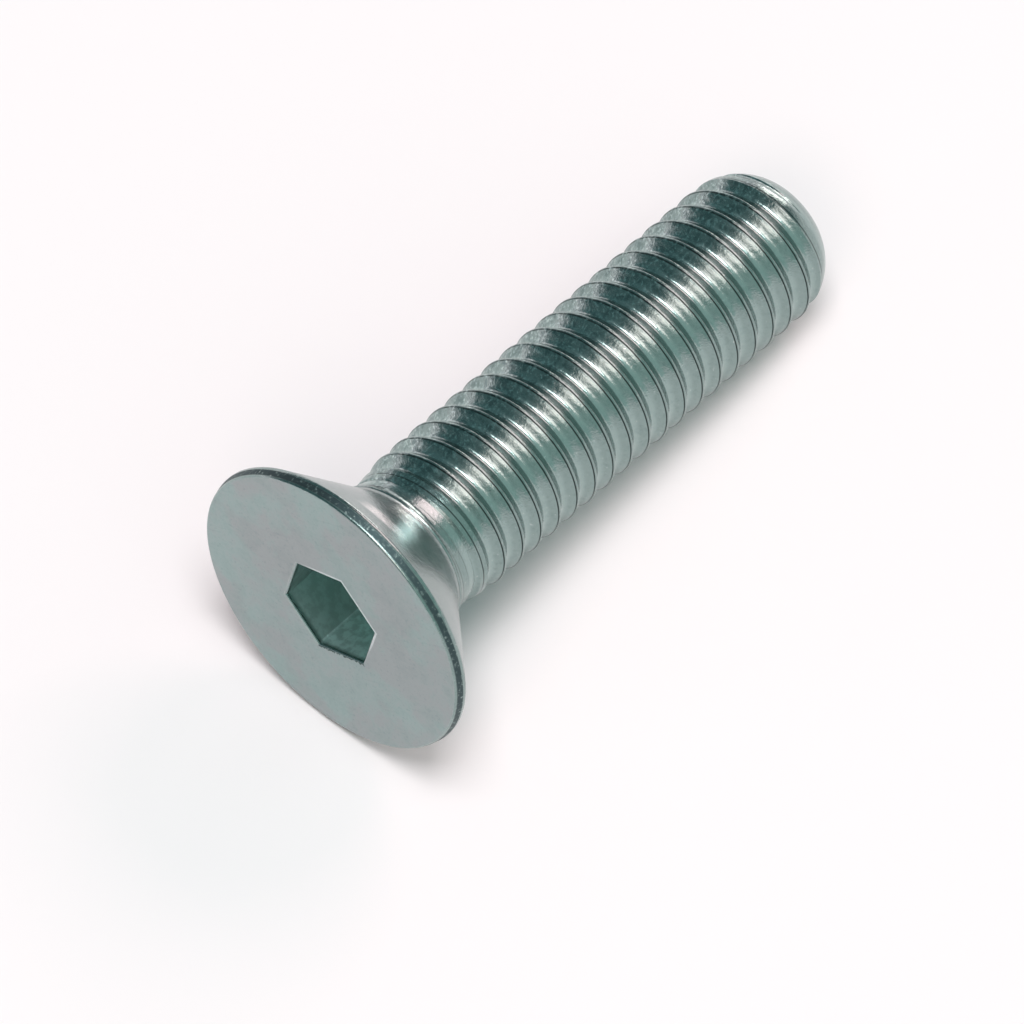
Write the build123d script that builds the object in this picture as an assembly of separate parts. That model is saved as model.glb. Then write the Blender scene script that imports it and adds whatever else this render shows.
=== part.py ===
"""Countersunk socket screw, M5 x 20, with a 90 degree flat head and a 3 mm hexagon socket.

The screw is one piece of steel. It is built upright in its own frame, where Z runs along the
axis from the flat of the head to the tip, X is the side that ends up on top, and angles are
counted from X towards Y. It is then laid on the XY plane, on the rim of its head and the
crests next to its tip, with the tip towards +X and the origin under the middle of its box.
Lengths are in millimetres and angles in degrees.
"""
import os
from math import atan2, ceil, cos, floor, radians, sin, tan

from build123d import *

# Driving dimensions: the whole screw, flat of the head to the end of the tip
SCREW_LENGTH = 20.0

# Driving dimensions: head
HEAD_DIAMETER = 9.64
HEAD_ANGLE = 90.0
FACE_DIAMETER = 9.54
RIM_DRAFT_HEIGHT = 0.26
RIM_LAND_HEIGHT = 0.14

# Driving dimensions: hexagon socket
SOCKET_ACROSS_FLATS = 3.03
SOCKET_DEPTH = 2.1
SOCKET_POINT_ANGLE = 120.0
SOCKET_EDGE_BREAK = 0.06
SOCKET_TURN = 8.3

# Driving dimensions: plain neck between the head and the thread
NECK_DIAMETER = 4.55
NECK_FILLET_RADIUS = 1.1
NECK_LENGTH = 0.1

# Driving dimensions: thread, with the height of a groove on the upper side as its phase
CREST_DIAMETER = 4.9
PITCH = 0.8
FLANK_ANGLE = 60.0
CREST_FLAT = 0.165
ROOT_FLAT = 0.2
CREST_RISE = 1.1
RUN_OUT_LENGTH = 1.8
THREAD_PHASE = 0.18

# Driving dimensions: tip, narrowed by a gentle cone and then a steeper one
TIP_DIAMETER = 3.42
TIP_LENGTH = 1.53
TIP_SHOULDER_DIAMETER = 4.3
TIP_END_LENGTH = 0.5

# Clearance of a cutting tool past the surface that it cuts
TOOL_CLEARANCE = 0.06

# Radii and heights that follow from the dimensions above
HEAD_RADIUS = HEAD_DIAMETER / 2
NECK_RADIUS = NECK_DIAMETER / 2
CREST_RADIUS = CREST_DIAMETER / 2
TIP_RADIUS = TIP_DIAMETER / 2
HALF_HEAD_ANGLE = radians(HEAD_ANGLE / 2)
RIM_HEIGHT = RIM_DRAFT_HEIGHT + RIM_LAND_HEIGHT
CONE_END = RIM_HEIGHT + (HEAD_RADIUS - NECK_RADIUS) / tan(HALF_HEAD_ANGLE)
NECK_START = CONE_END + NECK_FILLET_RADIUS * tan(HALF_HEAD_ANGLE / 2)
RISE_START = NECK_START + NECK_LENGTH
TIP_START = SCREW_LENGTH - TIP_LENGTH
TIP_SHOULDER = SCREW_LENGTH - TIP_END_LENGTH
TIP_SHOULDER_RADIUS = TIP_SHOULDER_DIAMETER / 2
HALF_FLANK = radians(FLANK_ANGLE / 2)
FLANK_RUN = (PITCH - CREST_FLAT - ROOT_FLAT) / 2
ROOT_RADIUS = CREST_RADIUS - FLANK_RUN / tan(HALF_FLANK)


def blank():
    """Head, neck and unthreaded shank, turned as one outline about the axis."""
    half = Polyline(
        (FACE_DIAMETER / 2, 0),
        (HEAD_RADIUS, RIM_DRAFT_HEIGHT),
        (HEAD_RADIUS, RIM_HEIGHT),
        (NECK_RADIUS, CONE_END),
        (NECK_RADIUS, RISE_START),
        (CREST_RADIUS, RISE_START + CREST_RISE),
        (CREST_RADIUS, TIP_START),
        (TIP_SHOULDER_RADIUS, TIP_SHOULDER),
        (TIP_RADIUS, SCREW_LENGTH),
        (0, SCREW_LENGTH),
        (0, 0),
        close=True,
    )
    outline = make_face(half)
    neck_corner = outline.vertices().sort_by_distance((NECK_RADIUS, CONE_END))[0]
    outline = fillet(neck_corner, NECK_FILLET_RADIUS)
    return revolve(Plane.XZ * outline, Axis.Z)


def run_out():
    """Cone that lifts the bottom of the groove out of the shank towards the neck."""
    slope = (NECK_RADIUS - ROOT_RADIUS) / RUN_OUT_LENGTH
    wide = CREST_RADIUS + 2 * TOOL_CLEARANCE
    narrow = ROOT_RADIUS - 2 * TOOL_CLEARANCE
    low = RISE_START - (wide - NECK_RADIUS) / slope
    high = RISE_START + (NECK_RADIUS - narrow) / slope
    cone = make_face(Polyline((0, low), (wide, low), (narrow, high), (0, high), close=True))
    return revolve(Plane.XZ * cone, Axis.Z)


def thread_groove():
    """Right-hand helical groove, one face for each turn, from the neck out past the tip."""
    outer_radius = CREST_RADIUS + TOOL_CLEARANCE
    outer_half = ROOT_FLAT / 2 + (outer_radius - ROOT_RADIUS) * tan(HALF_FLANK)
    section = make_face(
        Polyline(
            (ROOT_RADIUS, -ROOT_FLAT / 2),
            (outer_radius, -outer_half),
            (outer_radius, outer_half),
            (ROOT_RADIUS, ROOT_FLAT / 2),
            close=True,
        )
    )
    start = THREAD_PHASE + PITCH * floor((NECK_START - THREAD_PHASE) / PITCH)
    turns = ceil((SCREW_LENGTH - start) / PITCH + 1)
    turn = Helix(pitch=PITCH, height=PITCH, radius=CREST_RADIUS)
    path = Wire([Pos(0, 0, number * PITCH) * turn for number in range(turns)])
    groove = sweep(Plane.XZ * section, path=path, is_frenet=True)
    return Pos(0, 0, start) * groove - run_out()


def socket():
    """Hexagon recess with a broken edge at the flat of the head and a drilled, conical end."""
    inner_radius = SOCKET_ACROSS_FLATS / 2
    hexagon = RegularPolygon(radius=inner_radius, side_count=6, major_radius=False)
    mouth = RegularPolygon(radius=inner_radius + SOCKET_EDGE_BREAK, side_count=6, major_radius=False)
    point_height = inner_radius / tan(radians(SOCKET_POINT_ANGLE / 2))
    point = Pos(0, 0, SOCKET_DEPTH + point_height / 2) * Cone(inner_radius, 0, point_height)
    recess = extrude(hexagon, SOCKET_DEPTH) + extrude(mouth, SOCKET_EDGE_BREAK, taper=45) + point
    return Rot(0, 0, SOCKET_TURN) * recess


def lay_down(screw):
    """Screw turned onto the XY plane, with its axis falling from the head towards the tip."""
    fall = atan2(HEAD_RADIUS - CREST_RADIUS, TIP_START - RIM_HEIGHT)
    resting = Plane(
        origin=(0, 0, 0),
        x_dir=(sin(fall), 0, cos(fall)),
        z_dir=(cos(fall), 0, -sin(fall)),
    )
    laid = resting * screw
    box = laid.bounding_box()
    return Pos(-box.center().X, -box.center().Y, -box.min.Z) * laid


screw = lay_down(blank() - thread_groove() - socket())
screw.label = "screw"
os.makedirs("parts", exist_ok=True)
export_step(screw, "parts/screw.step")
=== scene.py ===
"""Countersunk socket screw in bright zinc, laid out as a Blender add-on and run as a script.

The screw is modelled upright in millimetres, with Z along its axis from the flat of the head to
the tip and X as the side that ends up on top. It is then laid down and scaled to metres.
"""

from math import cos, floor, pi, radians, sin, sqrt, tan

import bmesh
import bpy
from bpy.props import FloatProperty, FloatVectorProperty, IntProperty, PointerProperty
from mathutils import Euler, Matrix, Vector


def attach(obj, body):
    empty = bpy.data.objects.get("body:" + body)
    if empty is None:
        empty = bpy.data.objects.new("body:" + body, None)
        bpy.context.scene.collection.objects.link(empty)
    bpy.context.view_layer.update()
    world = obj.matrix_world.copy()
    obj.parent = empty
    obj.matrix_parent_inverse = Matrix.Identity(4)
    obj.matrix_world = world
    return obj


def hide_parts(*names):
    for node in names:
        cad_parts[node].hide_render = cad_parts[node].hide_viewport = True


bl_info = {
    "name": "Countersunk socket screw",
    "version": (1, 0, 0),
    "blender": (4, 5, 0),
    "location": "View3D > Sidebar > Screw",
    "description": "Models a countersunk socket screw with its thread, socket, finish and studio",
    "category": "Add Mesh",
}

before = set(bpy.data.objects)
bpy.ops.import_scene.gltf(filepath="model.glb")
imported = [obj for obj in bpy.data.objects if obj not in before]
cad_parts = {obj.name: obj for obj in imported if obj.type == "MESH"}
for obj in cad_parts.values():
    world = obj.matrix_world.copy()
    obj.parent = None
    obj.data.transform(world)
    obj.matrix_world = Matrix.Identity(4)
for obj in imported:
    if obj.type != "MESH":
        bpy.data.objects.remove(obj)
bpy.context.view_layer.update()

PIECE = "screw_dressed"
PER_METRE = 1000.0
TO_METRES = 1 / PER_METRE

# Place of the flat of the head in mm and the fall of the axis in radians, as the screw lies on
# its rim and thread
FACE_CENTRE = Vector((-9.7161, 0.0, 4.8311))
FALL = 0.1304124

# Steps in a turn of the turned pieces, and the distance under which points are merged, in mm
BLANK_STEPS = 256
CORE_STEPS = 192
POINT_STEPS = 96
MERGE_DISTANCE = 0.0005

# A screw with a thread has far more faces than this, and edges below this angle are smooth
FEWEST_FACES = 1000
SMOOTH_ANGLE = radians(32)

# A face whose normal rises less than this looks down
LOOKS_DOWN = -0.5

# Head: radii of the rings in the flat, in mm, the start and end in degrees and the steps of the
# round at its edge and of the neck's fillet, and the cone's angle to the axis
FACE_RINGS = (0.0, 2.6, 4.2)
EDGE_ARC = (-90, -11, 5)
FILLET_ARC = (225, 204, 8)
CONE_SLOPE = pi / 4

# Head: offsets (radius, height) in mm of the outline past the edge's round, at the two corners
# of the land and over the low ridge in the fillet, then how far below the neck the ridge starts
# and how long the plain neck is
EDGE_END = ((0.003, 0.015),)
LAND_START_CORNER = ((-0.011, -0.03), (-0.006, 0.0), (0.0, 0.02))
LAND_END_CORNER = ((0.0, -0.03), (-0.02, 0.015))
RIDGE = ((0.108, 0.0), (0.104, 0.03), (0.062, 0.07), (0.018, 0.22))
RIDGE_DROP = 0.42
NECK_LENGTH = 0.1

# How much wider the plain shank is turned than the crests, and the round of the tip: its radius,
# and its angles in degrees with the number of steps
BLANK_EXTRA = 0.02
TIP_ROUND = 1.8136
TIP_START_ANGLE = 10.0
TIP_END_ANGLE = 52.7
TIP_STEPS = 12

# Thread: offsets (radius, height) in mm of the outline of one pitch. LOW_FLANK counts from the
# middle of a root, SHOULDER from the crests' radius at the height of that root, CREST from the
# middle of the crest and HIGH_FLANK from the middle of the next root
LOW_FLANK = (
    (0.0, 0.0),
    (0.010, 0.05),
    (0.040, 0.10),
    (0.086, 0.15),
    (0.137, 0.20),
    (0.186, 0.25),
    (0.230, 0.30),
)
SHOULDER = ((-0.036, 0.326),)
CREST = (
    (-0.022, -0.061),
    (-0.018, -0.054),
    (-0.038, -0.046),
    (-0.010, -0.035),
    (0.0, -0.021),
    (0.0, 0.027),
    (-0.010, 0.050),
    (-0.045, 0.073),
)
HIGH_FLANK = ((0.060, -0.14), (0.012, -0.06), (0.0, 0.0))

# Threaded rod: how far it reaches below the neck in mm, its spare turns, and its two cuts, in
# pitches from its start and in mm past the tip, which keep clear of the profile's corners
ROD_BELOW_NECK = 1.2
SPARE_TURNS = 3
LOW_CUT = 1.5137
HIGH_CUT = 0.4013

# Core of the run-out, in mm: how far it starts below the neck, how far it goes inside the roots,
# the length of its collar and how far it stands out round the head
CORE_DROP = 0.2
CORE_DEPTH = 0.12
CORE_COLLAR = 0.06
CORE_MARGIN = 1.0

# Punch and drill of the socket: how far the punch stands out in mm, the drill's width as a
# share of the hexagon's, and how far its cone reaches into the hexagon in mm
PUNCH_EXTRA = 0.5
DRILL_SHARE = 0.995
DRILL_OVERLAP = 0.002

# Colours in the plating: the cone, the painted highlight on two patches of it, stains, pits and
# painted glints as bright specks
CONE_GREY = (0.34, 0.39, 0.385, 1.0)
CONE_HIGHLIGHT = (0.86, 0.84, 0.83, 1.0)
STAIN = (0.22, 0.29, 0.285, 1.0)
PIT = (0.10, 0.16, 0.155, 1.0)
SPECK_GLINT = (0.75, 0.80, 0.80, 1.0)

# Colours in the plating: painted shade in the fold on the crests, painted light in the roots, and
# the mottling of the thread, of painted shade and painted glints
FOLD_SHADE = (0.02, 0.03, 0.03, 1.0)
ROOT_LIGHT = (0.50, 0.63, 0.61, 1.0)
MOTTLE_SHADE = (0.10, 0.16, 0.16, 1.0)
MOTTLE_GLINT = (0.62, 0.78, 0.75, 1.0)

# Colours in the plating: painted light on the socket's lowest wall, its stains, the painted highlight
# on its lip, its chips, and painted shade on the rim's draft
LIT_LOW_WALL = (0.80, 1.0, 0.98, 1.0)
WALL_STAIN = (0.25, 0.34, 0.33, 1.0)
LIP_HIGHLIGHT = (0.78, 0.82, 0.82, 1.0)
CHIP = (0.05, 0.09, 0.085, 1.0)
DRAFT_SHADE = (0.06, 0.09, 0.095, 1.0)

# Noises of the plating: features for each millimetre, detail and roughness
CLOUDS = (0.45, 4.0, 0.6)
BLOTCHES = (1.3, 5.0, 0.7)
SPECKS = (3.5, 4.0, 0.65)
GRAIN = (9.0, 3.0, 0.6)
STREAKS = (1.0, 2.0, 0.5)

# Streaks: their direction as shares of up and aside, and how their places are shrunk along and
# across it, from mm to the noise's metres
STREAK_DIRECTION = (0.5, 0.87)
STREAK_SCALE = (0.0003, 0.006)

# Masks, each with the value where it is 0 and the value where it is 1. These are heights from
# the flat of the head and radii, in mm
FLAT_HEIGHTS = (0.03, 0.0)
DRAFT_START = (0.05, 0.11)
DRAFT_END = (0.30, 0.26)
DRAFT_RADII = (4.5, 4.6)
CONE_START = (0.38, 0.42)
CONE_END = (3.1, 2.8)
THREAD_START = (2.9, 3.4)
THREAD_RADII = (1.95, 2.1)
SOCKET_START = (0.03, 0.25)
SOCKET_END = (5.0, 4.0)
SOCKET_RADII = (1.85, 1.80)

# Masks of the thread: distances from the fold, for its painted shade, and from the middle of a crest
# in mm, and headings in radians of the side with painted mottling. The fold lies at this share of a
# pitch from the middle of a root, and wanders by this share
FOLD_REACH = (0.026, 0.010)
ROOT_REACH = (0.20, 0.34)
DARK_SIDE_HEADINGS = (0.25, -0.15)
FOLD_PHASE = 0.4425
FOLD_WANDER = 0.02

# Painted highlight on two patches of the cone: their heading and its reach in radians, and for each
# patch its height and its reach in mm
CONE_HIGHLIGHT_HEADING = 0.16
CONE_HIGHLIGHT_SPREAD = (0.26, 0.06)
CONE_HIGHLIGHT_PATCHES = ((1.22, (0.34, 0.14)), (2.42, (0.50, 0.25)))

# Socket: its flats from a corner in degrees, how far its lowest wall reaches past its flat, and
# the direction and the distances, in mm, of the side where the lip's painted highlight is strongest
FLAT_TURNS = (30, 90, 150)
LOW_WALL_REACH = (-0.06, -0.02)
HIGHLIGHT_TURN = 30
HIGHLIGHT_REACH = (0.3, 0.9)

# Painted highlight on the lip round the socket, in mm: its width, what is added on its brightest
# side, how it fades outward and its heights; then its strength all round and what is added on
# that side
LIP_WIDTH = 0.09
LIP_EXTRA = 0.03
LIP_FADE = (0.0, -0.03)
LIP_HEIGHTS = (0.03, 0.02)
LIP_PLAIN = 0.2
LIP_HIGHLIT_SIDE = 0.8

# Chips at the socket's lowest edge, in mm: how deep they go, how far they are set back, how
# they fade and how they end at the next walls
CHIP_DEPTH = 0.34
CHIP_SETBACK = 0.12
CHIP_FADE = 0.02
CHIP_ENDS = (0.01, 0.0)

# What clouds the flat, what stains it and what pits the plating: each value with where it is 0,
# where it is 1 and its share in the colour
CLOUDING = {
    "clouds": (0.44, 0.58, 0.7),
    "blotches": (0.45, 0.65, 0.4),
    "radius": (4.4, 2.6, 0.35),
}
STAINING = {"blotches": (0.56, 0.36, 0.20), "grain": (0.42, 0.28, 0.25)}
PITTING = {"grain": (0.50, 0.30, 0.22), "specks": (0.50, 0.35, 0.15)}
# Painted glints: bright specks
GLINT_SPECKLING = {"grain": (0.66, 0.74, 0.4)}
# Painted shade and painted glints, mottled, on the side of the thread that reflects the dark sky
SHADE_MOTTLING = {"specks": (0.52, 0.40, 0.5)}
GLINT_MOTTLING = {"grain": (0.52, 0.66, 0.45)}
WALL_STAINING = {"specks": (0.60, 0.40, 0.35)}
# Painted shade on the rim's draft, broken by grain
DRAFT_SHADING = {"grain": (0.74, 0.52, 1.0)}
SCRATCHING = {"streaks": (0.62, 0.72, 1.0)}

# Shares of the painted shade in the fold, the painted light in the roots, the painted highlight on
# the lip, its grain and the chips in the colour, and the part of the pitting that the flat is spared
FOLD_SHADE_SHARE = 0.85
ROOT_LIGHT_SHARE = 0.25
LIP_SHARE = 0.35
LIP_GRAIN = 0.6
CHIP_SHARE = 0.9
FLAT_SPARED = 0.75

# Roughness: of the plain plating, and what each value adds to it
PLAIN_ROUGHNESS = 0.17
ROUGHNESS = {
    "on_flat": 0.22,
    "specks": 0.12,
    "in_socket": 0.2,
    "highlit_lip": 0.2,
    "scratches": 0.06,
    "on_draft": 0.3,
}

# How much less metallic the lip with the painted highlight is than the rest
LIP_DULLNESS = 0.5

# Relief: strength, depth in metres, and the shares of specks, grain, grain on the thread and
# scratches
BUMP_STRENGTH = 0.6
BUMP_DEPTH = 0.00003
SPECK_RELIEF = 0.35
GRAIN_RELIEF = 0.3
THREAD_RELIEF = 0.1
SCRATCH_RELIEF = 0.05

# Lamps: direction from the screw, distance, width and height in metres, watts and colour
LAMPS = {
    "band_lamp": ((0.70, -0.03, 0.66), 0.45, 0.26, 0.14, 0.40, (1.0, 0.65, 0.67)),
    "neck_lamp": ((0.95, 0.27, 0.10), 0.45, 0.16, 0.10, 0.30, (1.0, 0.82, 0.79)),
    "head_lamp": ((-0.61, -0.25, 0.74), 0.45, 0.20, 0.16, 0.36, (1.0, 0.75, 0.73)),
    "rim_lamp": ((-0.83, 0.47, 0.25), 0.45, 0.10, 0.08, 0.05, (1.0, 0.92, 0.92)),
    "top_lamp": ((-0.1, -0.1, 1.0), 0.9, 0.40, 0.40, 5.1, (1.0, 0.985, 0.995)),
}
LAMP_TARGET = (0, 0, 0.002)

# Sky: overhead and at the horizon, each on the far side and on the near side; then where the
# colours change, as shares of the near side's direction and of the height
FAR_OVERHEAD = (0.10, 0.19, 0.20, 1.0)
NEAR_OVERHEAD = (0.46, 0.62, 0.59, 1.0)
FAR_HORIZON = (2.2, 1.75, 1.85, 1.0)
NEAR_HORIZON = (1.12, 1.0, 1.02, 1.0)
OVERHEAD_CHANGE = (0.1, 0.5)
HORIZON_CHANGE = (0.0, -0.3)
HORIZON_END = (0.05, 0.12)

# Floor: its side in metres and its finish. Camera: its target and its film's width in mm, and
# how near and how far it sees in metres
FLOOR_SIZE = 1.0
FLOOR_ROUGHNESS = 0.95
FLOOR_SPECULAR = 0.1
CAMERA_TARGET = Vector((-3.3443, -1.3304, 4.0))
SENSOR_WIDTH = 36.0
NEAREST = 0.01
FARTHEST = 10.0

# Outputs of the texture coordinate node
GENERATED = 0
OBJECT = 3

# Upright frame in the laid one: the upper side, the side next to it and the axis
UPPER = Vector((sin(FALL), 0.0, cos(FALL)))
ASIDE = Vector((0.0, -1.0, 0.0))
AXIS = Vector((cos(FALL), 0.0, -sin(FALL)))


class HeadSizes(bpy.types.PropertyGroup):
    """Sizes of the head and the neck"""

    radius: FloatProperty(
        name="Head radius", description="Radius of the land on the rim, in mm", default=4.82, min=1.0
    )
    face_radius: FloatProperty(
        name="Face radius", description="Radius of the flat of the head, in mm", default=4.77, min=1.0
    )
    land_start: FloatProperty(
        name="Land start", description="Height where the land begins, in mm", default=0.26
    )
    land_end: FloatProperty(
        name="Land end", description="Height where the land ends, in mm", default=0.40
    )
    edge_round: FloatProperty(
        name="Edge round", description="Rounding of the edge of the flat, in mm", default=0.10
    )
    neck_radius: FloatProperty(
        name="Neck radius", description="Radius of the plain neck, in mm", default=2.275
    )
    fillet: FloatProperty(
        name="Neck fillet", description="Fillet between the cone and the neck, in mm", default=1.1
    )


class ThreadSizes(bpy.types.PropertyGroup):
    """Sizes of the thread and the tip"""

    length: FloatProperty(name="Length", description="Flat to tip, in mm", default=20.0)
    crest_radius: FloatProperty(name="Crest radius", description="In mm", default=2.45)
    root_radius: FloatProperty(name="Root radius", description="In mm", default=2.17)
    pitch: FloatProperty(name="Pitch", description="Advance for each turn, in mm", default=0.8)
    phase: FloatProperty(
        name="Phase", description="Height of a root on the upper side, in mm", default=0.26
    )
    rise_length: FloatProperty(
        name="Rise length", description="Cone from the neck up to the crests, in mm", default=1.1
    )
    run_out: FloatProperty(
        name="Run-out length", description="Length over which the roots fade, in mm", default=1.0
    )
    tip_length: FloatProperty(name="Tip length", description="In mm", default=1.53)
    tip_radius: FloatProperty(name="Tip radius", description="In mm", default=1.71)
    steps: IntProperty(name="Steps", description="Steps in a turn", default=128, min=16)


class SocketSizes(bpy.types.PropertyGroup):
    """Sizes of the hexagon socket"""

    across_flats: FloatProperty(name="Across flats", description="In mm", default=3.03)
    depth: FloatProperty(name="Depth", description="In mm", default=2.1)
    edge_break: FloatProperty(name="Edge break", description="In mm", default=0.045)
    turn: FloatProperty(
        name="Turn",
        description="Angle of a corner from the upper side",
        default=radians(8.3),
        subtype="ANGLE",
        unit="ROTATION",
    )


class FinishLook(bpy.types.PropertyGroup):
    """Colours of the plating"""

    zinc: FloatVectorProperty(
        name="Zinc",
        description="Bright plating",
        subtype="COLOR",
        size=3,
        default=(0.256, 0.336, 0.323),
    )
    pale: FloatVectorProperty(
        name="Pale",
        description="Flat of the head",
        subtype="COLOR",
        size=3,
        default=(0.335, 0.43, 0.42),
    )
    mauve: FloatVectorProperty(
        name="Mauve",
        description="Cloudy patches",
        subtype="COLOR",
        size=3,
        default=(0.355, 0.385, 0.39),
    )
    # Teal of the socket's walls, painted paler than the zinc as painted light in the recess
    lit_teal: FloatVectorProperty(
        name="Teal",
        description="Walls of the socket",
        subtype="COLOR",
        size=3,
        default=(0.44, 0.61, 0.58),
    )


class StudioLook(bpy.types.PropertyGroup):
    """Floor and camera"""

    floor: FloatVectorProperty(
        name="Floor",
        description="Colour of the floor",
        subtype="COLOR",
        size=3,
        default=(0.93, 0.88, 0.885),
    )
    lens: FloatProperty(name="Lens", description="Focal length, in mm", default=365.68, min=10.0)
    distance: FloatProperty(
        name="Distance", description="From the camera to its target, in mm", default=299.8
    )
    azimuth: FloatProperty(
        name="Azimuth", description="Turn from +Y to +X", default=radians(48.65), subtype="ANGLE"
    )
    elevation: FloatProperty(
        name="Elevation", description="Above the horizon", default=radians(58.7), subtype="ANGLE"
    )


def deselect_all():
    """Leaves edit mode and deselects every object."""
    if bpy.context.object and bpy.context.object.mode != "OBJECT":
        bpy.ops.object.mode_set(mode="OBJECT")
    bpy.ops.object.select_all(action="DESELECT")


def pick(piece):
    """Makes a piece the only selected one, and the active one."""
    deselect_all()
    piece.select_set(True)
    bpy.context.view_layer.objects.active = piece


def outline_piece(name, points):
    """A new object whose mesh is a chain of edges through the points (radius, height)."""
    deselect_all()
    bpy.ops.mesh.primitive_plane_add(size=1.0)
    piece = bpy.context.object
    piece.name = name
    bpy.ops.object.mode_set(mode="EDIT")
    bpy.ops.mesh.select_all(action="SELECT")
    bpy.ops.mesh.merge(type="CENTER")
    last = Vector((0.0, 0.0, 0.0))
    for index, (radius, height) in enumerate(points):
        place = Vector((radius, 0.0, height))
        if index == 0:
            bpy.ops.transform.translate(value=place - last)
        else:
            bpy.ops.mesh.extrude_region_move(TRANSFORM_OT_translate={"value": place - last})
        last = place
    bpy.ops.object.mode_set(mode="OBJECT")
    return piece


def close_and_face_out(piece):
    """Merges doubles and turns all faces outward."""
    pick(piece)
    bpy.ops.object.mode_set(mode="EDIT")
    bpy.ops.mesh.select_all(action="SELECT")
    bpy.ops.mesh.remove_doubles(threshold=MERGE_DISTANCE)
    bpy.ops.mesh.normals_make_consistent(inside=False)
    bpy.ops.object.mode_set(mode="OBJECT")


def turned_piece(name, points, steps):
    """A solid of revolution about Z from an outline of points (radius, height)."""
    piece = outline_piece(name, points)
    bpy.ops.object.mode_set(mode="EDIT")
    bpy.ops.mesh.select_all(action="SELECT")
    bpy.ops.mesh.spin(steps=steps, angle=2 * pi, center=(0, 0, 0), axis=(0, 0, 1))
    close_and_face_out(piece)
    return piece


def combine(piece, tool, operation, own_crossings=False):
    """Applies an exact Boolean of the tool to the piece and removes the tool."""
    pick(piece)
    bpy.ops.object.modifier_add(type="BOOLEAN")
    modifier = piece.modifiers[-1]
    modifier.operation = operation
    modifier.solver = "EXACT"
    modifier.use_self = own_crossings
    modifier.object = tool
    bpy.ops.object.modifier_apply(modifier=modifier.name)
    pick(tool)
    bpy.ops.object.delete()
    pick(piece)


def arc(centre, radius, start, end, steps):
    """Points (radius, height) of an arc, with angles in degrees counted from the radius axis."""
    turns = [radians(start + (end - start) * step / steps) for step in range(steps + 1)]
    return [(centre[0] + radius * cos(turn), centre[1] + radius * sin(turn)) for turn in turns]


def beside(corner, offsets):
    """Points at offsets (radius, height) from a corner."""
    return [(corner[0] + across, corner[1] + along) for across, along in offsets]


def neck_start(head):
    """Height where the fillet ends and the plain neck begins."""
    cone_end = head.land_end + head.radius - head.neck_radius
    return cone_end + head.fillet * tan(CONE_SLOPE / 2)


def head_outline(head):
    """Outline of the head and the neck, from the middle of the flat outward and up."""
    edge = head.edge_round
    fillet_centre = (head.neck_radius + head.fillet, neck_start(head))
    points = [(radius, 0.0) for radius in FACE_RINGS]
    points += arc((head.face_radius - edge, edge), edge, *EDGE_ARC)
    points += beside((head.face_radius, edge), EDGE_END)
    points += beside((head.radius, head.land_start), LAND_START_CORNER)
    points += beside((head.radius, head.land_end), LAND_END_CORNER)
    points += arc(fillet_centre, head.fillet, *FILLET_ARC)
    points += beside((head.neck_radius, fillet_centre[1] - RIDGE_DROP), RIDGE)
    return points


def tip_outline(thread):
    """Outline of the rounded tip, from the crests to the middle of the flat end.

    It leaves the crests at the fall of the axis, so that the tip stays above the floor.
    """
    last = radians(TIP_END_ANGLE)
    end = (thread.tip_radius, thread.length)
    centre = (end[0] - TIP_ROUND * cos(last), end[1] - TIP_ROUND * sin(last))
    wide = thread.crest_radius + BLANK_EXTRA
    start = thread.length - thread.tip_length - BLANK_EXTRA / tan(FALL)
    points = [(wide, start)]
    points += arc(centre, TIP_ROUND, TIP_START_ANGLE, TIP_END_ANGLE, TIP_STEPS)
    return points + [(0.0, thread.length)]


def turn_blank(head, thread):
    """Head, neck and plain shank, a little wider than the crests between its two tapers."""
    rise = neck_start(head) + NECK_LENGTH
    wide = thread.crest_radius + BLANK_EXTRA
    slope = (thread.crest_radius - head.neck_radius) / thread.rise_length
    full = rise + (wide - head.neck_radius) / slope
    points = head_outline(head) + [(head.neck_radius, rise), (wide, full)]
    points += tip_outline(thread)
    return turned_piece(PIECE, points, BLANK_STEPS)


def thread_profile(thread):
    """One pitch of the thread (radius, height), from the middle of a root to the next one.

    The flank towards the head bulges into the crest, which ends in a fold and a thin lip.
    """
    points = beside((thread.root_radius, 0.0), LOW_FLANK)
    points += beside((thread.crest_radius, 0.0), SHOULDER)
    points += beside((thread.crest_radius, thread.pitch / 2), CREST)
    points += beside((thread.root_radius, thread.pitch), HIGH_FLANK)
    return points


def threaded_rod(head, thread):
    """A rod with the full thread, longer than the shank at both ends, with flat ends."""
    rod = outline_piece("threaded_rod", thread_profile(thread))
    below = floor((neck_start(head) - ROD_BELOW_NECK - thread.phase) / thread.pitch) - 1
    turns = int((thread.length - below * thread.pitch) / thread.pitch) + SPARE_TURNS
    pick(rod)
    bpy.ops.object.modifier_add(type="SCREW")
    modifier = rod.modifiers[-1]
    modifier.angle = 2 * pi
    modifier.screw_offset = thread.pitch
    modifier.iterations = turns
    modifier.steps = thread.steps
    modifier.render_steps = thread.steps
    modifier.use_smooth_shade = False
    bpy.ops.object.modifier_apply(modifier=modifier.name)
    bpy.ops.object.mode_set(mode="EDIT")
    bpy.ops.mesh.select_all(action="SELECT")
    start = thread.phase + below * thread.pitch
    bpy.ops.transform.translate(value=(0, 0, start))
    bpy.ops.mesh.remove_doubles(threshold=MERGE_DISTANCE)
    cuts = ((start + LOW_CUT * thread.pitch, -1), (thread.length + HIGH_CUT, 1))
    for height, side in cuts:
        bpy.ops.mesh.select_all(action="SELECT")
        bpy.ops.mesh.bisect(
            plane_co=(0, 0, height),
            plane_no=(0, 0, side),
            use_fill=True,
            clear_outer=True,
        )
    close_and_face_out(rod)
    return rod


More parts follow.
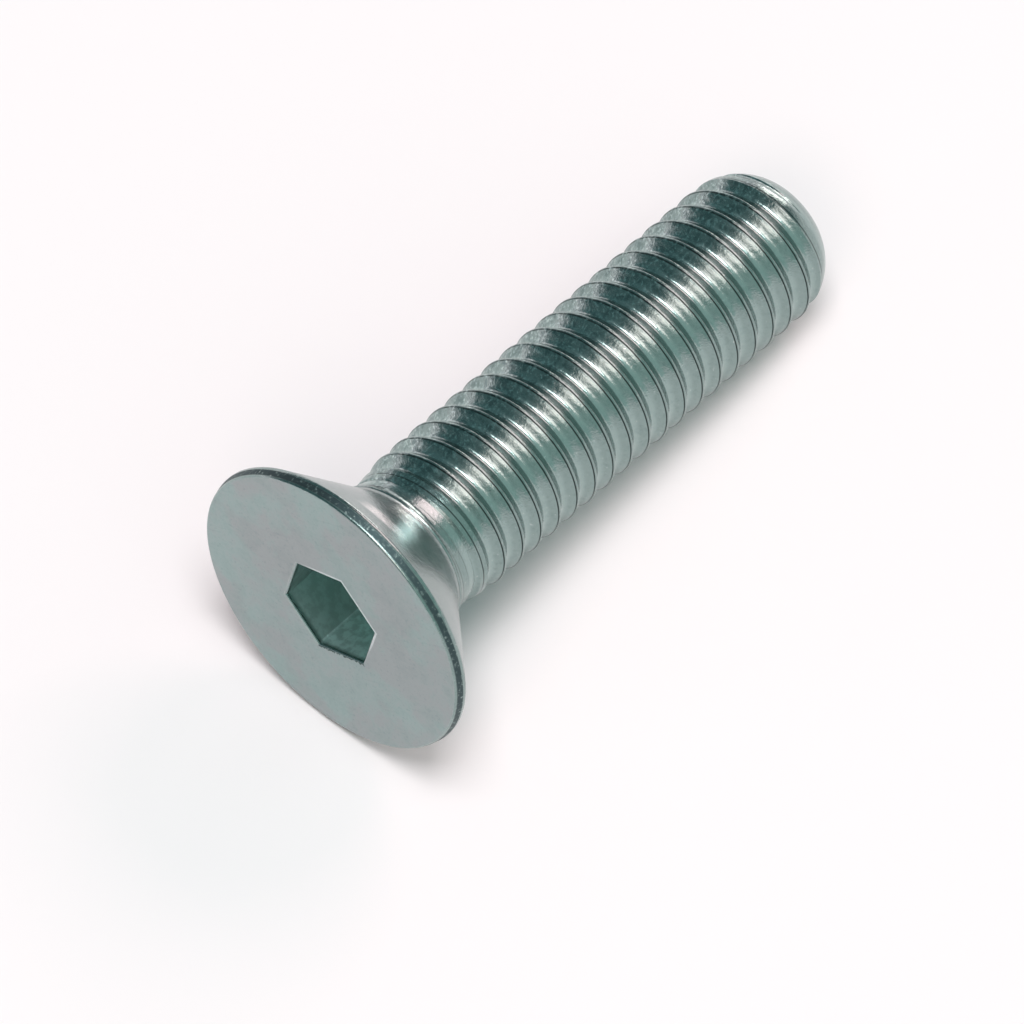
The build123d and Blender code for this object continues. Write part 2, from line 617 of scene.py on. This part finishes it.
def run_out_core(head, thread):
    """Solid that fills the head end and fills the roots where they fade towards the neck."""
    rise = neck_start(head) - CORE_DROP
    slope = (head.neck_radius - thread.root_radius) / thread.run_out
    narrow = thread.root_radius - CORE_DEPTH
    high = rise + (head.neck_radius - narrow) / slope
    collar = rise - CORE_COLLAR
    points = [
        (0.0, -CORE_MARGIN),
        (head.radius + CORE_MARGIN, -CORE_MARGIN),
        (head.radius + CORE_MARGIN, collar),
        (head.neck_radius + slope * CORE_COLLAR, collar),
        (narrow, high),
        (0.0, high),
    ]
    return turned_piece("run_out_core", points, CORE_STEPS)


def lay_down(piece):
    """Turns the upright piece onto its rim and thread, and scales it to metres."""
    pick(piece)
    piece.rotation_euler = Euler((0.0, -pi / 2 - FALL, pi), "XYZ")
    piece.location = FACE_CENTRE
    bpy.ops.object.transform_apply(location=True, rotation=True, scale=True)
    piece.scale = (TO_METRES, TO_METRES, TO_METRES)
    bpy.ops.object.transform_apply(location=True, rotation=True, scale=True)


class ScrewBlank(bpy.types.Operator):
    """Turns the head, the neck and the plain shank"""

    bl_idname = "mesh.screw_blank"
    bl_label = "Turn the blank"

    def execute(self, context):
        turn_blank(context.scene.screw_head, context.scene.screw_thread)
        return {"FINISHED"}


class ScrewThread(bpy.types.Operator):
    """Rolls the thread into the shank, with its run-out at the neck"""

    bl_idname = "mesh.screw_thread"
    bl_label = "Roll the thread"

    def execute(self, context):
        head = context.scene.screw_head
        thread = context.scene.screw_thread
        blank = bpy.data.objects[PIECE]
        rod = threaded_rod(head, thread)
        combine(rod, run_out_core(head, thread), "UNION")
        combine(blank, rod, "INTERSECT", own_crossings=True)
        if len(blank.data.polygons) < FEWEST_FACES:
            raise RuntimeError("the thread was not cut")
        return {"FINISHED"}


class ScrewSocket(bpy.types.Operator):
    """Punches the hexagon socket into the head"""

    bl_idname = "mesh.screw_socket"
    bl_label = "Punch the socket"

    def execute(self, context):
        sizes = context.scene.screw_socket
        blank = bpy.data.objects[PIECE]
        combine(blank, hexagon_punch(sizes), "DIFFERENCE")
        combine(blank, drill_point(sizes), "DIFFERENCE")
        return {"FINISHED"}


def hexagon_punch(sizes):
    """A hexagon bar that flares at the flat of the head and stands out of it."""
    deselect_all()
    bpy.ops.mesh.primitive_cylinder_add(
        vertices=6,
        radius=sizes.across_flats / sqrt(3),
        depth=sizes.depth,
        location=(0, 0, sizes.depth / 2),
        rotation=(0, 0, sizes.turn - pi / 6),
    )
    punch = bpy.context.object
    punch.name = "socket_punch"
    bpy.ops.object.transform_apply(location=True, rotation=True, scale=True)
    bpy.ops.object.mode_set(mode="EDIT")
    mesh = bmesh.from_edit_mesh(punch.data)
    for face in mesh.faces:
        face.select = face.normal.z < LOOKS_DOWN
    bmesh.update_edit_mesh(punch.data)
    flare = 1 + 2 * sizes.edge_break / sizes.across_flats
    bpy.ops.transform.translate(value=(0, 0, sizes.edge_break))
    bpy.ops.mesh.extrude_region_move(TRANSFORM_OT_translate={"value": (0, 0, -sizes.edge_break)})
    bpy.ops.transform.resize(value=(flare, flare, 1))
    bpy.ops.mesh.extrude_region_move(TRANSFORM_OT_translate={"value": (0, 0, -PUNCH_EXTRA)})
    close_and_face_out(punch)
    return punch


def drill_point(sizes):
    """The cone that the drill leaves below the hexagon."""
    height = sizes.across_flats / 2 / sqrt(3)
    deselect_all()
    bpy.ops.mesh.primitive_cone_add(
        vertices=POINT_STEPS,
        radius1=sizes.across_flats / 2 * DRILL_SHARE,
        radius2=0.0,
        depth=height,
        location=(0, 0, sizes.depth + height / 2 - DRILL_OVERLAP),
    )
    bpy.ops.object.transform_apply(location=True, rotation=True, scale=True)
    return bpy.context.object


class ScrewFinish(bpy.types.Operator):
    """Lays the screw down, smooths it and gives it its plating"""

    bl_idname = "mesh.screw_finish"
    bl_label = "Plate the screw"

    def execute(self, context):
        piece = bpy.data.objects[PIECE]
        lay_down(piece)
        pick(piece)
        bpy.ops.object.shade_smooth_by_angle(angle=SMOOTH_ANGLE)
        piece.data.materials.clear()
        scene = context.scene
        zinc = zinc_material(scene.screw_finish, scene.screw_thread, scene.screw_socket)
        piece.data.materials.append(zinc)
        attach(piece, "root")
        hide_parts("screw")
        return {"FINISHED"}


class Wire:
    """A node socket that joins in shader maths through Python's operators."""

    def __init__(self, tree, socket):
        self.tree = tree
        self.socket = socket

    def maths(self, operation, *others):
        """One Math node with this value first."""
        node = self.tree.nodes.new("ShaderNodeMath")
        node.operation = operation
        for slot, value in zip(node.inputs, (self, *others)):
            connect(self.tree, slot, value)
        return Wire(self.tree, node.outputs[0])

    def __add__(self, other):
        return self.maths("ADD", other)

    __radd__ = __add__

    def __sub__(self, other):
        return self.maths("SUBTRACT", other)

    def __rsub__(self, other):
        return (self * -1.0) + other

    def __mul__(self, other):
        return self.maths("MULTIPLY", other)

    __rmul__ = __mul__

    def __truediv__(self, other):
        return self.maths("DIVIDE", other)

    def __pow__(self, other):
        return self.maths("POWER", other)

    def ramp(self, low, high):
        """0 below low, 1 above high and smooth between; low may be the larger."""
        return Shop(self.tree).node(
            "ShaderNodeMapRange",
            {"interpolation_type": "SMOOTHSTEP"},
            {"Value": self, "From Min": low, "From Max": high},
        )


def connect(tree, slot, value):
    """Links a wire to an input, or writes a plain value there."""
    if isinstance(value, Wire):
        tree.links.new(value.socket, slot)
    else:
        slot.default_value = value


class Shop:
    """Adds nodes to one tree."""

    def __init__(self, tree):
        self.tree = tree

    def node(self, kind, settings=None, inputs=None, output=0):
        """A new node with its settings and inputs, as a wire from one of its outputs."""
        node = self.tree.nodes.new(kind)
        for name, value in (settings or {}).items():
            setattr(node, name, value)
        for name, value in (inputs or {}).items():
            connect(self.tree, node.inputs[name], value)
        return Wire(self.tree, node.outputs[output])

    def dot(self, vector, direction):
        """Component of a vector along a fixed direction."""
        return self.node(
            "ShaderNodeVectorMath", {"operation": "DOT_PRODUCT"}, {0: vector, 1: direction}, output=1
        )

    def mix(self, factor, first, second):
        """Mixture of two colours; the node's sockets for colours are 6, 7 and 2."""
        node = self.tree.nodes.new("ShaderNodeMix")
        node.data_type = "RGBA"
        connect(self.tree, node.inputs[0], factor)
        connect(self.tree, node.inputs[6], first)
        connect(self.tree, node.inputs[7], second)
        return Wire(self.tree, node.outputs[2])

    def noise(self, place, scale, detail, roughness):
        """Noise between about 0 and 1 at a scale in features for each millimetre."""
        return self.node(
            "ShaderNodeTexNoise",
            {"noise_dimensions": "3D"},
            {"Vector": place, "Scale": scale * PER_METRE, "Detail": detail, "Roughness": roughness},
        )


class Surface:
    """Where a point of the plating lies, as wires in mm and radians, with masks and noises."""

    def __init__(self, shop, socket):
        place = shop.node("ShaderNodeTexCoord", output=OBJECT)
        from_face = shop.node(
            "ShaderNodeVectorMath",
            {"operation": "SUBTRACT"},
            {0: place, 1: FACE_CENTRE * TO_METRES},
        )
        self.height = shop.dot(from_face, AXIS) * PER_METRE
        self.up = shop.dot(from_face, UPPER) * PER_METRE
        self.aside = shop.dot(from_face, ASIDE) * PER_METRE
        self.radius = (self.up * self.up + self.aside * self.aside) ** 0.5
        self.heading = self.aside.maths("ARCTAN2", self.up)
        self.clouds = shop.noise(place, *CLOUDS)
        self.blotches = shop.noise(place, *BLOTCHES)
        self.specks = shop.noise(place, *SPECKS)
        self.grain = shop.noise(place, *GRAIN)
        self.streaks = shop.noise(self.streak_place(shop), *STREAKS)
        self.add_masks()
        self.add_socket(socket)

    def streak_place(self, shop):
        """Place in the plane of the flat, shrunk most along the streaks so that they are long."""
        rise, side = STREAK_DIRECTION
        along = self.up * rise + self.aside * side
        across = self.up * side - self.aside * rise
        shrunk = {"X": along * STREAK_SCALE[0], "Y": across * STREAK_SCALE[1]}
        return shop.node("ShaderNodeCombineXYZ", None, shrunk)

    def add_masks(self):
        """The flat, its scratches, the draft of the rim, the cone and the thread."""
        on_rim = self.height.ramp(*DRAFT_START) * self.height.ramp(*DRAFT_END)
        self.on_flat = self.height.ramp(*FLAT_HEIGHTS)
        self.scratches = self.sum_of(SCRATCHING) * self.on_flat
        self.on_draft = on_rim * self.radius.ramp(*DRAFT_RADII)
        self.on_cone = self.height.ramp(*CONE_START) * self.height.ramp(*CONE_END)
        self.on_thread = self.height.ramp(*THREAD_START) * self.radius.ramp(*THREAD_RADII)

    def add_socket(self, socket):
        """The inside of the socket, its lowest wall, the painted highlight on the lip round it and
        the chips at its edge.
        """
        half = socket.across_flats / 2
        flats = [self.towards(socket.turn + radians(turn)) for turn in FLAT_TURNS]
        out = flats[0].maths("ABSOLUTE").maths("MAXIMUM", flats[1].maths("ABSOLUTE"))
        out = out.maths("MAXIMUM", flats[2].maths("ABSOLUTE"))
        in_depth = self.height.ramp(*SOCKET_START) * self.height.ramp(*SOCKET_END)
        self.in_socket = in_depth * self.radius.ramp(*SOCKET_RADII)
        self.low_wall = flats[2].ramp(*(half + reach for reach in LOW_WALL_REACH))
        # Side where the painted highlight on the lip is strongest
        highlit_side = self.towards(radians(HIGHLIGHT_TURN)).ramp(*HIGHLIGHT_REACH)
        lip_end = half + LIP_WIDTH + highlit_side * LIP_EXTRA
        highlit_lip = (out - lip_end).ramp(*LIP_FADE) * self.height.ramp(*LIP_HEIGHTS)
        self.highlit_lip = highlit_lip * (LIP_PLAIN + highlit_side * LIP_HIGHLIT_SIDE)
        chipped = (flats[2] - self.grain * CHIP_DEPTH + CHIP_SETBACK).ramp(half + CHIP_FADE, half)
        chipped = chipped * self.low_wall * self.on_flat
        self.chipped = chipped * (out - flats[2]).ramp(*CHIP_ENDS)

    def towards(self, angle):
        """Distance from the axis in a direction, counted from the upper side."""
        return self.up * cos(angle) + self.aside * sin(angle)

    def sum_of(self, parts):
        """Sum of this surface's values, each ramped from 0 to 1 and multiplied by its share."""
        total = 0.0
        for name, (low, high, share) in parts.items():
            total = getattr(self, name).ramp(low, high) * share + total
        return total


def head_colour(shop, spot, look):
    """Plain plating, pale and cloudy on the flat, greyer on the cone, with a painted highlight on two
    patches of the cone.
    """
    colour = shop.mix(spot.on_flat, (*look.zinc, 1.0), (*look.pale, 1.0))
    colour = shop.mix(spot.on_cone, colour, CONE_GREY)
    ahead = (spot.heading - CONE_HIGHLIGHT_HEADING).maths("ABSOLUTE").ramp(*CONE_HIGHLIGHT_SPREAD)
    highlight_patches = [(spot.height - middle).maths("ABSOLUTE").ramp(*reach) for middle, reach in CONE_HIGHLIGHT_PATCHES]
    # Painted highlight: two near-white patches on the cone at one heading
    colour = shop.mix(ahead * highlight_patches[0].maths("MAXIMUM", highlight_patches[1]), colour, CONE_HIGHLIGHT)
    colour = shop.mix(spot.sum_of(CLOUDING) * spot.on_flat, colour, (*look.mauve, 1.0))
    return shop.mix(spot.sum_of(STAINING) * spot.on_flat, colour, STAIN)


def pitted_colour(shop, spot, colour):
    """Fine dark pits, fewer on the flat, and painted glints as bright specks off the flat."""
    pitted = spot.sum_of(PITTING) * (1.0 - spot.on_flat * FLAT_SPARED)
    colour = shop.mix(pitted, colour, PIT)
    # Painted glints as bright specks, off the flat
    return shop.mix(spot.sum_of(GLINT_SPECKLING) * (1.0 - spot.on_flat), colour, SPECK_GLINT)


def thread_colour(shop, spot, colour, thread):
    """Painted shade in the fold, painted light in the roots, and painted mottling on the upper and
    far sides.
    """
    turn = spot.heading / (2 * pi)
    phase = (((spot.height - thread.phase) / thread.pitch) - turn).maths("FRACT")
    from_crest = (phase - 0.5).maths("ABSOLUTE") * thread.pitch
    wander = (spot.specks - 0.5) * FOLD_WANDER
    from_fold = (phase - FOLD_PHASE + wander).maths("ABSOLUTE") * thread.pitch
    fold_shade = from_fold.ramp(*FOLD_REACH) * spot.on_thread
    root = from_crest.ramp(*ROOT_REACH) * spot.on_thread
    dark_side = spot.heading.ramp(*DARK_SIDE_HEADINGS) * spot.on_thread
    # Painted shade: near-black in the fold along the crests
    colour = shop.mix(fold_shade * FOLD_SHADE_SHARE, colour, FOLD_SHADE)
    # Painted light: paler roots, lifting the shade between the crests
    colour = shop.mix(root * ROOT_LIGHT_SHARE, colour, ROOT_LIGHT)
    # Painted shade and painted glints in random mottles, only on the side that reflects the dark sky
    colour = shop.mix(dark_side * spot.sum_of(SHADE_MOTTLING), colour, MOTTLE_SHADE)
    return shop.mix(dark_side * spot.sum_of(GLINT_MOTTLING), colour, MOTTLE_GLINT)


def socket_colour(shop, spot, colour, look):
    """Walls of the socket painted paler as painted light, the painted highlight on its lip and the
    chips at its lowest edge.
    """
    # Painted light: socket walls in paler teal, palest on the lowest wall
    walls = shop.mix(spot.low_wall, (*look.lit_teal, 1.0), LIT_LOW_WALL)
    walls = shop.mix(spot.sum_of(WALL_STAINING), walls, WALL_STAIN)
    colour = shop.mix(spot.in_socket, colour, walls)
    # Painted highlight: bright ring on the lip round the socket, strongest on one side
    colour = shop.mix(spot.highlit_lip * (LIP_SHARE + spot.grain * LIP_GRAIN), colour, LIP_HIGHLIGHT)
    return shop.mix(spot.chipped * CHIP_SHARE, colour, CHIP)


def roughness(spot):
    """Roughness of the plating, with what the flat, the socket and the wear add to it."""
    total = PLAIN_ROUGHNESS
    for name, share in ROUGHNESS.items():
        total = getattr(spot, name) * share + total
    return total


def relief(shop, spot):
    """Normal with the fine bumps of the plating."""
    grainy = GRAIN_RELIEF + spot.on_thread * THREAD_RELIEF
    bumps = spot.specks * SPECK_RELIEF + spot.grain * grainy - spot.scratches * SCRATCH_RELIEF
    settings = {"Strength": BUMP_STRENGTH, "Distance": BUMP_DEPTH, "Height": bumps}
    return shop.node("ShaderNodeBump", None, settings)


def zinc_material(look, thread, socket):
    """Bright zinc with a blue-green cast, cloudy on the flat and finely pitted."""
    material = bpy.data.materials.new("bright_zinc")
    material.use_nodes = True
    tree = material.node_tree
    tree.nodes.clear()
    shop = Shop(tree)
    spot = Surface(shop, socket)
    colour = head_colour(shop, spot, look)
    colour = pitted_colour(shop, spot, colour)
    colour = thread_colour(shop, spot, colour, thread)
    colour = socket_colour(shop, spot, colour, look)
    # Painted shade: the rim's draft darkened, broken by grain
    colour = shop.mix(spot.on_draft * spot.sum_of(DRAFT_SHADING), colour, DRAFT_SHADE)
    shader = tree.nodes.new("ShaderNodeBsdfPrincipled")
    connect(tree, shader.inputs["Metallic"], 1.0 - spot.highlit_lip * LIP_DULLNESS)
    connect(tree, shader.inputs["Base Color"], colour)
    connect(tree, shader.inputs["Roughness"], roughness(spot))
    connect(tree, shader.inputs["Normal"], relief(shop, spot))
    output = tree.nodes.new("ShaderNodeOutputMaterial")
    tree.links.new(shader.outputs[0], output.inputs[0])
    return material


def aim(thing, target):
    """Turns a lamp or camera to look at a point."""
    look = Vector(target) - thing.location
    thing.rotation_euler = look.to_track_quat("-Z", "Y").to_euler()


def softbox(name, direction, distance, width, height, watts, colour):
    """A rectangular lamp in a direction from the screw, facing it; lengths in metres."""
    deselect_all()
    bpy.ops.object.light_add(type="AREA", location=Vector(direction).normalized() * distance)
    lamp = bpy.context.object
    lamp.name = name
    lamp.data.shape = "RECTANGLE"
    lamp.data.size = width
    lamp.data.size_y = height
    lamp.data.energy = watts
    lamp.data.color = colour
    lamp.visible_camera = False
    aim(lamp, LAMP_TARGET)


class ScrewStudio(bpy.types.Operator):
    """Sets the floor, the lamps, the sky and the camera"""

    bl_idname = "mesh.screw_studio"
    bl_label = "Set the studio"

    def execute(self, context):
        look = context.scene.screw_studio
        lay_floor(look)
        hang_lamps()
        paint_sky()
        place_camera(look)
        context.scene.view_settings.view_transform = "Standard"
        return {"FINISHED"}


def lay_floor(look):
    """Wide pale floor under the screw."""
    deselect_all()
    bpy.ops.mesh.primitive_plane_add(size=FLOOR_SIZE, location=(0, 0, 0))
    ground = bpy.context.object
    ground.name = "studio_floor"
    material = bpy.data.materials.new("studio_paper")
    material.use_nodes = True
    shader = material.node_tree.nodes["Principled BSDF"]
    shader.inputs["Base Color"].default_value = (*look.floor, 1.0)
    shader.inputs["Roughness"].default_value = FLOOR_ROUGHNESS
    shader.inputs["Specular IOR Level"].default_value = FLOOR_SPECULAR
    ground.data.materials.append(material)


def hang_lamps():
    """Warm softboxes for the shank, the neck, the head and the rim, and a large one overhead."""
    for name, settings in LAMPS.items():
        softbox(name, *settings)


def paint_sky():
    """Bright at the horizon, above all on the far side, and dim overhead, dimmest on that side."""
    world = bpy.data.worlds.new("studio_sky")
    bpy.context.scene.world = world
    world.use_nodes = True
    tree = world.node_tree
    tree.nodes.clear()
    shop = Shop(tree)
    direction = shop.node("ShaderNodeTexCoord", output=GENERATED)
    rise = shop.dot(direction, (0.0, 0.0, 1.0))
    near_side = shop.dot(direction, (0.0, -1.0, 0.0))
    overhead = shop.mix(near_side.ramp(*OVERHEAD_CHANGE), FAR_OVERHEAD, NEAR_OVERHEAD)
    horizon = shop.mix(near_side.ramp(*HORIZON_CHANGE), NEAR_HORIZON, FAR_HORIZON)
    colour = shop.mix(rise.ramp(*HORIZON_END), horizon, overhead)
    light = shop.node("ShaderNodeBackground", None, {"Color": colour, "Strength": 1.0})
    output = tree.nodes.new("ShaderNodeOutputWorld")
    tree.links.new(light.socket, output.inputs[0])


def place_camera(look):
    """The camera looks down on the flat of the head and along the shank."""
    direction = Vector(
        (
            cos(look.elevation) * sin(look.azimuth),
            cos(look.elevation) * cos(look.azimuth),
            -sin(look.elevation),
        )
    )
    deselect_all()
    bpy.ops.object.camera_add(location=(CAMERA_TARGET - direction * look.distance) * TO_METRES)
    camera = bpy.context.object
    camera.name = "studio_camera"
    camera.data.lens = look.lens
    camera.data.sensor_width = SENSOR_WIDTH
    camera.data.clip_start = NEAREST
    camera.data.clip_end = FARTHEST
    aim(camera, CAMERA_TARGET * TO_METRES)
    bpy.context.scene.camera = camera


class ScrewPanel(bpy.types.Panel):
    """Lists the steps that make the screw"""

    bl_idname = "VIEW3D_PT_screw"
    bl_label = "Countersunk socket screw"
    bl_space_type = "VIEW_3D"
    bl_region_type = "UI"
    bl_category = "Screw"

    def draw(self, context):
        for step in STEPS:
            self.layout.operator(step.bl_idname)
        for group in ("screw_head", "screw_thread", "screw_socket", "screw_finish", "screw_studio"):
            settings = getattr(context.scene, group)
            for name in settings.__annotations__:
                self.layout.prop(settings, name)


STEPS = (ScrewBlank, ScrewThread, ScrewSocket, ScrewFinish, ScrewStudio)
GROUPS = {
    "screw_head": HeadSizes,
    "screw_thread": ThreadSizes,
    "screw_socket": SocketSizes,
    "screw_finish": FinishLook,
    "screw_studio": StudioLook,
}


def register():
    """Registers the settings, the steps and the panel."""
    for name, group in GROUPS.items():
        bpy.utils.register_class(group)
        setattr(bpy.types.Scene, name, PointerProperty(type=group))
    for step in STEPS:
        bpy.utils.register_class(step)
    bpy.utils.register_class(ScrewPanel)


def unregister():
    """Removes what register added."""
    bpy.utils.unregister_class(ScrewPanel)
    for step in reversed(STEPS):
        bpy.utils.unregister_class(step)
    for name, group in reversed(GROUPS.items()):
        delattr(bpy.types.Scene, name)
        bpy.utils.unregister_class(group)


def main():
    """Makes the screw and the studio."""
    register()
    bpy.ops.mesh.screw_blank()
    bpy.ops.mesh.screw_thread()
    bpy.ops.mesh.screw_socket()
    bpy.ops.mesh.screw_finish()
    bpy.ops.mesh.screw_studio()


if __name__ == "__main__":
    main()
